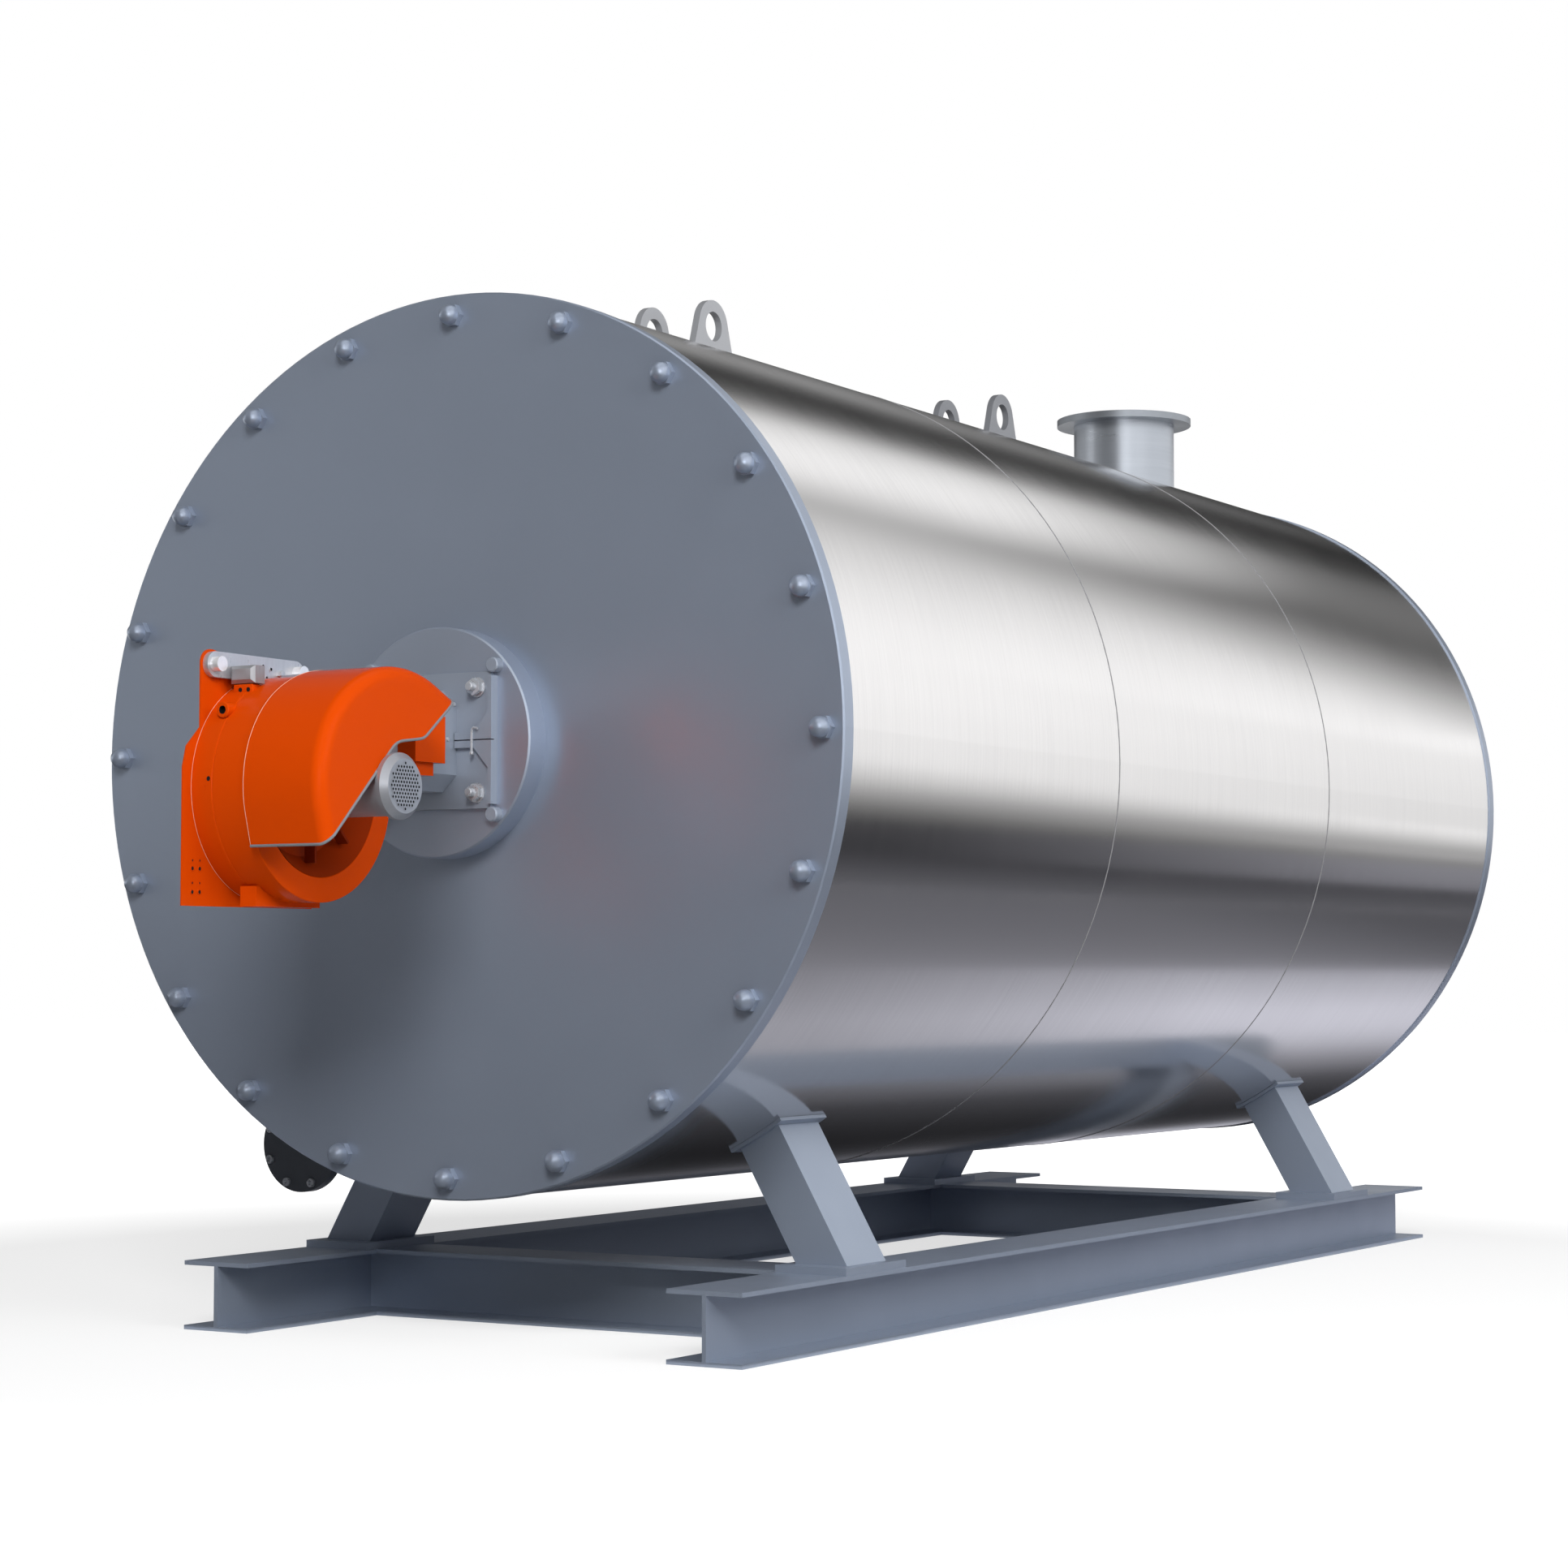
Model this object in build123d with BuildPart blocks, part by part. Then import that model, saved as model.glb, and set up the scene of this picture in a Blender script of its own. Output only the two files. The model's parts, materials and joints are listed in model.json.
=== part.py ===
import os
from math import cos, radians, sin, sqrt, tan

from build123d import *

os.makedirs("parts", exist_ok=True)

# Industrial fire-tube boiler on a skid frame, with a fan burner on its front plate.
# Millimetres, +Z up, front towards -Y, origin on the ground under the middle of the object.
# Stations along the boiler are measured backwards from the outer face of the front plate.

# Shell, its end plates standing out past the jacket by a lip
plate_lip = 4.0
plate_thickness = 46.0
plate_edge = 4.0
jacket_radius = 1096.0
wall = 60.0
seam_edge = 3.0
front_course_length = 1405.0
middle_course_length = 1465.0
rear_course_length = 1432.0
axis_height = 1452.0

# Clearance left at curved seats
seat_gap = 0.3

# Flue stack, its height taken from the crown of the jacket
flue_station = 3816.0
flue_radius = 170.5
flue_wall = 8.0
flue_height = 246.0
flue_flange_radius = 228.0
flue_flange_thickness = 22.0

# Lifting lugs, their eyes set above the crown of the jacket
lug_offset = 95.0
lug_front_station = 1019.0
lug_rear_station = 2707.0
lug_thickness = 20.0
lug_eye_height = 88.0
lug_radius = 71.0
lug_bore = 80.0
lug_base = 210.0

# Plain socket on the crown, between the rear lugs and the flue
socket_station = 3055.0
socket_radius = 17.0
socket_height = 60.0

# Legs, saddles, foot pads
leg_angle = 30.0
leg_width = 125.0
leg_depth = 190.0
front_leg_station = 624.0
rear_leg_inset = 650.0
saddle_width = 165.0
saddle_length = 220.0
saddle_thickness = 9.0
pad_width = 200.0
pad_length = 294.0
pad_thickness = 19.0

# Skid frame of rolled I-beams
beam_width = 206.0
beam_height = 173.0
beam_flange = 11.0
beam_web = 11.0

# Blanked nozzle under the left flank, its reach taken from the jacket
nozzle_angle = 40.6
nozzle_reach = 235.0
nozzle_station = 495.0
nozzle_radius = 84.0
nozzle_bend = 150.0
nozzle_neck = 40.0
nozzle_flange_radius = 126.0
nozzle_flange_thickness = 16.0

# Burner: boss, mount plate and hinge on the front plate
boss_radius = 279.0
boss_height = 65.0
boss_edge = 4.0
mount_width = 350.0
mount_height = 326.0
mount_thickness = 14.0
hinge_bar_width = 10.0
hinge_bar_height = 306.0
hinge_ear_thickness = 12.0
hinge_ear_reach = 98.0
hinge_ear_slope = 42.0
hinge_ear_root = 132.0
hinge_ear_tip = 36.0
hinge_slit_length = 108.0
hinge_slit_height = 3.0
neck_width = 150.0
neck_height = 244.0
neck_chamfer = 40.0

# Burner: fan casing about a cross axis
fan_reach = 594.0
fan_drop = 140.0
casing_radius = 256.0
casing_left = 77.0
casing_right = 80.0
casing_edge = 1.5
casing_band = 60.0
casing_groove = 2.0
inlet_radius = 200.0
inlet_throat_radius = 152.0
inlet_depth = 60.0
foot_inset = 45.0
foot_width = 46.0
foot_height = 46.0
foot_length = 222.0
foot_ahead = 29.0

# Burner: motor and intake vanes
motor_radius = 66.0
motor_reach = 294.0
cover_radius = 75.0
cover_depth = 26.0
cover_chamfer = 14.0
vane_count = 8
vane_thickness = 6.0
vane_hub = 10.0
vane_inset = 12.0
vane_depth = 30.0

# Burner: hood over the motor, lapped over the rim of the casing
hood_width = 216.0
hood_lap = 4.0
hood_crest_radius = 292.0
hood_front_angle = 195.0
hood_shoulder_angle = 125.0
hood_back_angle = 55.0
hood_sill = 136.0
hood_edge = 30.0
hood_sheet = 4.0
hood_cut_clear = 2.0
hood_knee_rise = 100.0
hood_knee_round = 70.0
hood_notch_rise = 113.0
hood_notch_reach = 104.0
hood_notch_round = 50.0
hood_tip_slope = 39.0

# Burner: side plate, valve bar, control box
side_plate_thickness = 4.0
side_plate_front = 283.0
side_plate_back = 164.0
side_plate_drop = 266.0
side_plate_rise = 308.0
side_plate_step = 56.0
side_plate_shoulder = 132.0
side_plate_toe = 12.0
side_plate_fall = 36.0
side_plate_corner = 32.0
side_plate_crest = 40.0
side_plate_arm_back = 95.0
side_plate_arm_fall = 53.0
bar_length = 334.0
bar_height = 58.0
bar_thickness = 14.0
bar_front_gap = 6.0
bar_top_gap = 5.0
knob_radius = 17.0
knob_depth = 22.0
knob_inset = 25.0
block_length = 40.0
block_height = 40.0
block_depth = 70.0
block_ahead = 75.0
block_gap = 1.5
block_edge = 8.0
box_depth = 52.0
box_length = 114.0
box_height = 110.0
box_station = 250.0
box_drop = 7.0
box_foot_depth = 35.0
box_foot_length = 68.0
box_foot_height = 30.0

# Places worked out from the sizes above
plate_radius = jacket_radius + plate_lip
shell_length = (2 * plate_thickness + front_course_length
                + middle_course_length + rear_course_length)
burner_reach = fan_reach + side_plate_front
front_y = burner_reach - (burner_reach + shell_length) / 2
front_seam = plate_thickness + front_course_length
rear_seam = front_seam + middle_course_length
rear_plate_station = rear_seam + rear_course_length
rear_leg_station = shell_length - rear_leg_inset
saddle_bore = jacket_radius + seat_gap
leg_top_radius = saddle_bore + saddle_thickness + seat_gap
pad_top = beam_height + pad_thickness
foot_x = tan(radians(leg_angle)) * (axis_height - pad_top)
mount_face = boss_height + mount_thickness
flue_top = jacket_radius + flue_height
lug_eye = jacket_radius + lug_eye_height
hood_radius = casing_radius + seat_gap + hood_sheet
hood_start = casing_right - hood_lap
nozzle_centre = jacket_radius + nozzle_reach
fan_y = front_y - fan_reach
fan_z = axis_height - fan_drop


def across(station):
    # upright plane square to the shell, its local x to the right and local y up from the axis
    return Plane(origin=(0, front_y + station, axis_height), x_dir=(1, 0, 0), z_dir=(0, -1, 0))


def fan_plane(x):
    # upright plane square to the fan axis, its local x towards the shell and local y up
    return Plane(origin=(x, fan_y, fan_z), x_dir=(0, 1, 0), z_dir=(1, 0, 0))


def save(piece, name):
    piece.part.label = name
    export_step(piece.part, f"parts/{name}.step")


def cut_by_shell(start, length):
    # takes the round of the shell out of the piece being built
    with Locations((0, front_y + start + length / 2, axis_height)):
        Cylinder(saddle_bore, length, rotation=(90, 0, 0), mode=Mode.SUBTRACT)


# Front plate and rear plate
def end_plate(station):
    with BuildPart() as plate:
        with BuildSketch(across(station)):
            Circle(plate_radius)
        extrude(amount=-plate_thickness)
        chamfer(plate.edges(), plate_edge)
    return plate


save(end_plate(0), "front_plate")
save(end_plate(rear_plate_station), "rear_plate")


# Shell courses, the rear one open under the flue
def course(station, length):
    with BuildPart() as ring:
        with BuildSketch(across(station)):
            Circle(jacket_radius)
            Circle(jacket_radius - wall, mode=Mode.SUBTRACT)
        extrude(amount=-length)
        outer = ring.edges().filter_by(GeomType.CIRCLE).sort_by(lambda e: e.radius)[-2:]
        chamfer(outer, seam_edge)
        if station < flue_station < station + length:
            with BuildSketch(Plane(origin=(0, front_y + flue_station, axis_height))):
                Circle(flue_radius - flue_wall)
            extrude(amount=jacket_radius, mode=Mode.SUBTRACT)
    return ring


save(course(plate_thickness, front_course_length), "shell_front_course")
save(course(front_seam, middle_course_length), "shell_middle_course")
save(course(rear_seam, rear_course_length), "shell_rear_course")

# Flue stack and its flange
with BuildPart() as flue_stack:
    with BuildSketch(Plane(origin=(0, front_y + flue_station, axis_height))):
        Circle(flue_radius)
        Circle(flue_radius - flue_wall, mode=Mode.SUBTRACT)
    extrude(amount=flue_top)
    cut_by_shell(flue_station - 2 * flue_radius, 4 * flue_radius)
save(flue_stack, "flue_stack")

with BuildPart() as flue_flange:
    flange_bottom = axis_height + flue_top - flue_flange_thickness
    with BuildSketch(Plane(origin=(0, front_y + flue_station, flange_bottom))):
        Circle(flue_flange_radius)
        Circle(flue_radius + seat_gap, mode=Mode.SUBTRACT)
    extrude(amount=flue_flange_thickness)
save(flue_flange, "flue_flange")


# Lifting lugs, plates along the shell with a rounded eye
def lifting_lug(side, station):
    plane = Plane(origin=(side * lug_offset, front_y + station, axis_height),
                  x_dir=(0, 1, 0), z_dir=(1, 0, 0))
    with BuildPart() as lug:
        with BuildSketch(plane):
            with Locations((0, lug_eye)):
                Circle(lug_radius)
            with Locations((0, jacket_radius - lug_thickness)):
                Rectangle(lug_base, lug_thickness)
            make_hull()
            with Locations((0, lug_eye)):
                Circle(lug_bore / 2, mode=Mode.SUBTRACT)
        extrude(amount=lug_thickness / 2, both=True)
        cut_by_shell(station - lug_base, 2 * lug_base)
    return lug


with BuildPart() as crown_socket:
    with BuildSketch(Plane(origin=(0, front_y + socket_station, axis_height))):
        Circle(socket_radius)
    extrude(amount=jacket_radius + socket_height)
    cut_by_shell(socket_station - 2 * socket_radius, 4 * socket_radius)
save(crown_socket, "crown_socket")


# Legs, square to the shell, with a rolled saddle above and a pad on the skid below
def slanted_bar(side, width):
    length = axis_height / cos(radians(leg_angle))
    x = side * sin(radians(leg_angle)) * length / 2
    y = -cos(radians(leg_angle)) * length / 2
    with Locations((x, y)):
        Rectangle(width, length, rotation=side * leg_angle)


def leg(side, station):
    with BuildPart() as post:
        with BuildSketch(across(station - leg_depth / 2)):
            slanted_bar(side, leg_width)
            Circle(leg_top_radius, mode=Mode.SUBTRACT)
            with Locations((0, pad_top - axis_height)):
                Rectangle(2 * axis_height, axis_height, mode=Mode.SUBTRACT,
                          align=(Align.CENTER, Align.MAX))
        extrude(amount=-leg_depth)
    return post


def saddle_plate(side, station):
    with BuildPart() as saddle:
        with BuildSketch(across(station - saddle_length / 2)):
            slanted_bar(side, saddle_width)
            Circle(saddle_bore + saddle_thickness, mode=Mode.INTERSECT)
            Circle(saddle_bore, mode=Mode.SUBTRACT)
        extrude(amount=-saddle_length)
    return saddle


def foot_pad(side, station):
    with BuildPart() as pad:
        with BuildSketch(Plane.XY.offset(beam_height)):
            with Locations((side * foot_x, front_y + station)):
                Rectangle(pad_width, pad_length)
        extrude(amount=pad_thickness)
    return pad


for side, hand in ((-1, "left"), (1, "right")):
    save(lifting_lug(side, lug_front_station), f"lifting_lug_front_{hand}")
    save(lifting_lug(side, lug_rear_station), f"lifting_lug_rear_{hand}")
    for end, station in (("front", front_leg_station), ("rear", rear_leg_station)):
        save(leg(side, station), f"leg_{end}_{hand}")
        save(saddle_plate(side, station), f"saddle_plate_{end}_{hand}")
        save(foot_pad(side, station), f"foot_pad_{end}_{hand}")


# Skids and the cross beams coped between them
def beam_section():
    Rectangle(beam_width, beam_height)
    pocket_width = (beam_width - beam_web) / 2
    pocket_x = (beam_width + beam_web) / 4
    with Locations((-pocket_x, 0), (pocket_x, 0)):
        Rectangle(pocket_width, beam_height - 2 * beam_flange, mode=Mode.SUBTRACT)


def skid(side):
    with BuildPart() as beam:
        with BuildSketch(Plane(origin=(side * foot_x, front_y, beam_height / 2),
                               x_dir=(1, 0, 0), z_dir=(0, -1, 0))):
            beam_section()
        extrude(amount=-shell_length)
    return beam


def cross_beam(station):
    middle = Plane(origin=(0, front_y + station, beam_height / 2),
                   x_dir=(0, 1, 0), z_dir=(1, 0, 0))
    with BuildPart() as beam:
        with BuildSketch(middle):
            beam_section()
        extrude(amount=foot_x - beam_width / 2, both=True)
        with BuildSketch(middle):
            Rectangle(beam_web, beam_height - 2 * beam_flange)
        extrude(amount=foot_x - beam_web / 2, both=True)
        cut_by_shell(station - beam_width, 2 * beam_width)
    return beam


save(skid(-1), "skid_left")
save(skid(1), "skid_right")
save(cross_beam(front_leg_station), "cross_beam_front")
save(cross_beam(rear_leg_station), "cross_beam_rear")

# Blanked nozzle: an elbow out of the shell that ends in a flange pair facing the front
nozzle_out = (-sin(radians(nozzle_angle)), 0, -cos(radians(nozzle_angle)))
nozzle_plane = Plane(origin=(0, front_y, axis_height), x_dir=nozzle_out,
                     z_dir=(cos(radians(nozzle_angle)), 0, -sin(radians(nozzle_angle))))
nozzle_start = nozzle_station + nozzle_flange_thickness
nozzle_rise = nozzle_start + nozzle_flange_thickness + nozzle_neck + nozzle_bend

with BuildPart() as nozzle_pipe:
    with BuildLine(nozzle_plane) as route:
        FilletPolyline((nozzle_centre, nozzle_start), (nozzle_centre, nozzle_rise),
                       (jacket_radius - wall, nozzle_rise), radius=nozzle_bend)
    with BuildSketch(Plane(origin=route.line @ 0, z_dir=route.line % 0)):
        Circle(nozzle_radius)
    sweep()
    cut_by_shell(nozzle_start, 2 * nozzle_rise)
save(nozzle_pipe, "nozzle_pipe")


def nozzle_disc(station, bore):
    centre = nozzle_plane.from_local_coords((nozzle_centre, station, 0))
    with BuildPart() as disc:
        with BuildSketch(Plane(origin=centre, x_dir=(1, 0, 0), z_dir=(0, -1, 0))):
            Circle(nozzle_flange_radius)
            if bore:
                Circle(bore, mode=Mode.SUBTRACT)
        extrude(amount=-nozzle_flange_thickness)
    return disc


save(nozzle_disc(nozzle_station, 0), "blind_flange")
save(nozzle_disc(nozzle_start, nozzle_radius + seat_gap), "nozzle_flange")

# Burner boss and mount plate
with BuildPart() as burner_boss:
    with BuildSketch(across(0)):
        Circle(boss_radius)
    extrude(amount=boss_height)
    chamfer(burner_boss.faces().sort_by(Axis.Y)[0].edges(), boss_edge)
save(burner_boss, "burner_boss")

with BuildPart() as burner_mount_plate:
    with BuildSketch(across(-boss_height)):
        Rectangle(mount_width, mount_height)
    extrude(amount=mount_thickness)
save(burner_mount_plate, "burner_mount_plate")

# Hinge bar beside the mount plate, with a slit ear that reaches over it to the neck
with BuildPart() as burner_hinge_bar:
    bar_edge = mount_width / 2
    ear_knee = bar_edge - hinge_ear_slope
    ear_end = bar_edge - hinge_ear_reach
    with BuildSketch(across(-boss_height)):
        with Locations((bar_edge, 0)):
            Rectangle(hinge_bar_width, hinge_bar_height, align=(Align.MIN, Align.CENTER))
    extrude(amount=mount_thickness + hinge_ear_thickness)
    with BuildSketch(across(-mount_face)):
        with BuildLine():
            Polyline((bar_edge, hinge_ear_root / 2),
                     (ear_knee, hinge_ear_tip / 2),
                     (ear_end, hinge_ear_tip / 2),
                     (ear_end, -hinge_ear_tip / 2),
                     (ear_knee, -hinge_ear_tip / 2),
                     (bar_edge, -hinge_ear_root / 2), close=True)
        make_face()
    extrude(amount=hinge_ear_thickness)
    with BuildSketch(across(-mount_face)):
        with Locations((ear_end, 0)):
            Rectangle(hinge_slit_length, hinge_slit_height, align=(Align.MIN, Align.CENTER))
    extrude(amount=hinge_ear_thickness, mode=Mode.SUBTRACT)
save(burner_hinge_bar, "burner_hinge_bar")

# Burner neck from the mount plate to the round of the fan casing
with BuildPart() as burner_neck:
    with BuildSketch(across(-mount_face)) as neck_section:
        Rectangle(neck_width, neck_height)
        chamfer(neck_section.vertices(), neck_chamfer)
    extrude(amount=fan_reach - mount_face)
    with BuildSketch(fan_plane(0)):
        Circle(casing_radius + seat_gap)
    extrude(amount=neck_width, both=True, mode=Mode.SUBTRACT)
save(burner_neck, "burner_neck")

# Fan casing: a drum turned about the cross axis, grooved where its back band ends,
# and open to a tapered inlet on the right
with BuildPart() as burner_casing:
    groove_x = casing_band - casing_left
    with BuildSketch(Plane(origin=(0, fan_y, fan_z), x_dir=(1, 0, 0), z_dir=(0, -1, 0))):
        with BuildLine():
            Polyline((-casing_left, 0),
                     (-casing_left, casing_radius - casing_edge),
                     (casing_edge - casing_left, casing_radius),
                     (groove_x - casing_groove, casing_radius),
                     (groove_x, casing_radius - casing_groove),
                     (groove_x + casing_groove, casing_radius),
                     (casing_right - casing_edge, casing_radius),
                     (casing_right, casing_radius - casing_edge),
                     (casing_right, inlet_radius),
                     (casing_right - inlet_depth, inlet_throat_radius),
                     (casing_right - inlet_depth, 0), close=True)
        make_face()
    revolve(axis=Axis((0, fan_y, fan_z), (1, 0, 0)))
    with BuildSketch(fan_plane(foot_inset - casing_left)):
        with Locations((-foot_ahead, -side_plate_drop)):
            Rectangle(foot_length, foot_height, align=(Align.CENTER, Align.MIN))
        Circle(casing_radius - 2 * casing_groove, mode=Mode.SUBTRACT)
    extrude(amount=foot_width)
save(burner_casing, "burner_casing")

# Intake vanes round the motor
with BuildPart() as intake_vanes:
    vane_x = casing_right - vane_inset - vane_depth
    taper = (inlet_radius - inlet_throat_radius) / inlet_depth
    vane_tip = inlet_radius - taper * (vane_inset + vane_depth) - seat_gap
    hub_radius = motor_radius + seat_gap + vane_hub
    with BuildSketch(fan_plane(vane_x)):
        Circle(hub_radius)
        with PolarLocations(0, vane_count):
            Rectangle(vane_tip, vane_thickness, align=(Align.MIN, Align.CENTER))
        Circle(motor_radius + seat_gap, mode=Mode.SUBTRACT)
    extrude(amount=vane_depth)
save(intake_vanes, "intake_vanes")

# Fan motor and its end cover
with BuildPart() as fan_motor:
    motor_start = casing_right - inlet_depth
    with BuildSketch(fan_plane(motor_start)):
        Circle(motor_radius)
    extrude(amount=motor_reach - motor_start)
save(fan_motor, "fan_motor")

with BuildPart() as motor_end_cover:
    with BuildSketch(fan_plane(motor_reach)):
        Circle(cover_radius)
    extrude(amount=cover_depth)
    chamfer(motor_end_cover.faces().sort_by(Axis.X)[-1].edges(), cover_chamfer)
save(motor_end_cover, "motor_end_cover")


# Hood: a sheet cover over the casing's right rim, rounded over, cut away round the motor
def polar(radius, degrees):
    return (radius * cos(radians(degrees)), radius * sin(radians(degrees)))


def hood_block(inset, sill):
    # solid under the roof line, drawn in by the inset and reaching down to the sill
    front = polar(hood_radius - inset, hood_front_angle)
    middle = polar(hood_radius - inset, (hood_front_angle + hood_shoulder_angle) / 2)
    shoulder = polar(hood_radius - inset, hood_shoulder_angle)
    back = polar(hood_crest_radius - inset, hood_back_angle)
    toe_x = front[0] + (front[1] - sill) * tan(radians(hood_front_angle - 180))
    with BuildPart() as block:
        with BuildSketch(fan_plane(hood_start)):
            with BuildLine():
                Line((toe_x, sill), front)
                front_arc = ThreePointArc(front, middle, shoulder)
                crest_arc = TangentArc(shoulder, back, tangent=front_arc % 1)
                end = crest_arc @ 1 + (crest_arc % 1) * hood_radius
                Polyline(back, (end.X, end.Y), (end.X, sill), (toe_x, sill))
            make_face()
        extrude(amount=hood_width - inset)
        outer_face = block.faces().sort_by(Axis.X)[-1]
        fillet(outer_face.edges().filter_by(GeomType.CIRCLE), hood_edge - inset)
    return block


# The cut runs up past the motor at 45 degrees, then nearly level, then up to the tip
cut_distance = motor_radius + hood_cut_clear
cut_near = polar(cut_distance, 135)
cut_low = -hood_crest_radius
cut_start = (cut_near[0] + cut_low - cut_near[1], cut_low)
cut_knee = (cut_near[0] + hood_knee_rise - cut_near[1], hood_knee_rise)
cut_notch = (hood_notch_reach, hood_notch_rise)
cut_far = 2 * hood_crest_radius
cut_tip = (cut_far, hood_notch_rise + (cut_far - hood_notch_reach) * tan(radians(hood_tip_slope)))

hood_inside = hood_block(hood_sheet, -hood_crest_radius)
hood_outside = hood_block(0, -hood_sill)
with BuildPart() as burner_hood:
    add(hood_outside.part)
    add(hood_inside.part, mode=Mode.SUBTRACT)
    with BuildSketch(fan_plane(hood_start)):
        with BuildLine():
            FilletPolyline(cut_start, cut_knee, cut_notch, cut_tip,
                           radius=[hood_knee_round, hood_notch_round])
            Polyline(cut_tip, (cut_far, cut_low), cut_start)
        make_face()
    extrude(amount=hood_width, mode=Mode.SUBTRACT)
save(burner_hood, "burner_hood")

# Side plate behind the casing, stepped at the front, its arm rounded and falling to the back
side_x = -casing_left
with BuildPart() as burner_side_plate:
    with BuildSketch(fan_plane(side_x)) as side_outline:
        with BuildLine():
            Polyline((-side_plate_front, -side_plate_drop),
                     (side_plate_back, -side_plate_drop),
                     (side_plate_back, 0),
                     (side_plate_arm_back, side_plate_rise - side_plate_arm_fall),
                     (side_plate_step + side_plate_crest - side_plate_front, side_plate_rise),
                     (side_plate_step - side_plate_front, side_plate_rise),
                     (side_plate_step - side_plate_front, side_plate_shoulder),
                     (side_plate_toe - side_plate_front,
                      side_plate_shoulder - side_plate_step + side_plate_toe),
                     (-side_plate_front, side_plate_shoulder - side_plate_step - side_plate_fall),
                     close=True)
        make_face()
        upper = side_outline.vertices().group_by(Axis.Y)[-1].sort_by(Axis.X)[0]
        fillet(upper, side_plate_corner)
    extrude(amount=-side_plate_thickness)
save(burner_side_plate, "burner_side_plate")

# Valve bar along the top of the side plate, shaped to the casing, with two knobs and a block
bar_z = side_plate_rise - bar_top_gap - bar_height / 2
bar_middle = side_plate_step - side_plate_front + bar_front_gap + bar_length / 2
with BuildPart() as valve_bar:
    with BuildSketch(fan_plane(side_x)):
        with Locations((bar_middle, bar_z)):
            SlotOverall(bar_length, bar_height)
        Circle(casing_radius + seat_gap, mode=Mode.SUBTRACT)
    extrude(amount=bar_thickness)
save(valve_bar, "valve_bar")

knob_spread = bar_length / 2 - knob_inset
for place, name in ((-knob_spread, "valve_knob_front"), (knob_spread, "valve_knob_rear")):
    with BuildPart() as knob:
        with BuildSketch(fan_plane(side_x + bar_thickness)):
            with Locations((bar_middle + place, bar_z)):
                Circle(knob_radius)
        extrude(amount=knob_depth)
    save(knob, name)

with BuildPart() as valve_block:
    block_middle = bar_middle - block_ahead
    block_bottom = sqrt((casing_radius + block_gap) ** 2 - (block_middle + block_length / 2) ** 2)
    with BuildSketch(fan_plane(side_x + bar_thickness)):
        with Locations((block_middle, block_bottom)):
            Rectangle(block_length, block_height, align=(Align.CENTER, Align.MIN))
    extrude(amount=block_depth)
    chamfer(valve_block.faces().sort_by(Axis.Y)[0].edges(), block_edge)
save(valve_block, "valve_block")

# Control box on the right flank of the neck, with a shallower foot under it
with BuildPart() as control_box:
    box_plane = Plane(origin=(neck_width / 2, front_y - box_station, axis_height - box_drop),
                      x_dir=(0, 1, 0), z_dir=(1, 0, 0))
    with BuildSketch(box_plane):
        Rectangle(box_length, box_height)
    extrude(amount=box_depth)
    with BuildSketch(box_plane):
        with Locations((0, -box_height / 2)):
            Rectangle(box_foot_length, box_foot_height, align=(Align.CENTER, Align.MAX))
    extrude(amount=box_foot_depth)
save(control_box, "control_box")
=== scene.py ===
import json
import math

import bmesh
import bpy
from mathutils import Matrix, Vector


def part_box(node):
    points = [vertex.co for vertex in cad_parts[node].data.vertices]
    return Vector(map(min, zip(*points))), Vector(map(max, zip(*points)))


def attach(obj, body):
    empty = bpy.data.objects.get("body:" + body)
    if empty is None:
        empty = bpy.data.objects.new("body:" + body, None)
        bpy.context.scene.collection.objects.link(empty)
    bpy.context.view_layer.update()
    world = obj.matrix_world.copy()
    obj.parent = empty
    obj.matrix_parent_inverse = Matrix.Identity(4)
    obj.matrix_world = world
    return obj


# Industrial boiler with a fan burner: finishes, fasteners and trim round the fixed frame.
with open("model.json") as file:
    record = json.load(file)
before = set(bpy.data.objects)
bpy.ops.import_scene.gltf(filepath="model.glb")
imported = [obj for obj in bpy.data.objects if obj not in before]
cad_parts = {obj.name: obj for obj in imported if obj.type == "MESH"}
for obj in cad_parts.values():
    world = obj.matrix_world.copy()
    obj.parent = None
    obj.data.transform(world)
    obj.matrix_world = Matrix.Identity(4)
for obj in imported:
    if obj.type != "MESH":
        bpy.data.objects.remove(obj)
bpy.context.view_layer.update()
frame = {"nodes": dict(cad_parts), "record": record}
nodes = frame["nodes"]
scene = bpy.context.scene
print("frame loaded:", len(nodes), "nodes")

# places read from the frame
plateLow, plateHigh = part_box("front_plate")
frontY = plateLow.y
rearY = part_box("rear_plate")[1].y
axisZ = (plateLow.z + plateHigh.z) / 2
coverLow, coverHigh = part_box("motor_end_cover")
fanCentre = Vector((0, (coverLow.y + coverHigh.y) / 2, (coverLow.z + coverHigh.z) / 2))


# small helpers for pieces

mergeGap = {"fine": 1e-6, "coarse": 1e-5}
sharpAngle = 32
eyelet = {"steps": 16, "floorShare": 0.25, "shadeShare": 0.95}


def facing(direction, place):
    # turns local +Z to a direction and moves the origin to a place
    turn = Vector(direction).to_track_quat("Z", "Y").to_matrix().to_4x4()
    return Matrix.Translation(place) @ turn


def turnedShape(outline, steps):
    # solid of revolution about local Z from (radius, height) points
    bm = bmesh.new()
    ring = [bm.verts.new((radius, 0, height)) for radius, height in outline]
    edges = [bm.edges.new(pair) for pair in zip(ring, ring[1:])]
    bmesh.ops.spin(bm, geom=ring + edges, axis=(0, 0, 1), cent=(0, 0, 0),
                   angle=math.tau, steps=steps, use_merge=True)
    bmesh.ops.remove_doubles(bm, verts=bm.verts, dist=mergeGap["fine"])
    bmesh.ops.recalc_face_normals(bm, faces=bm.faces)
    return bm


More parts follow.
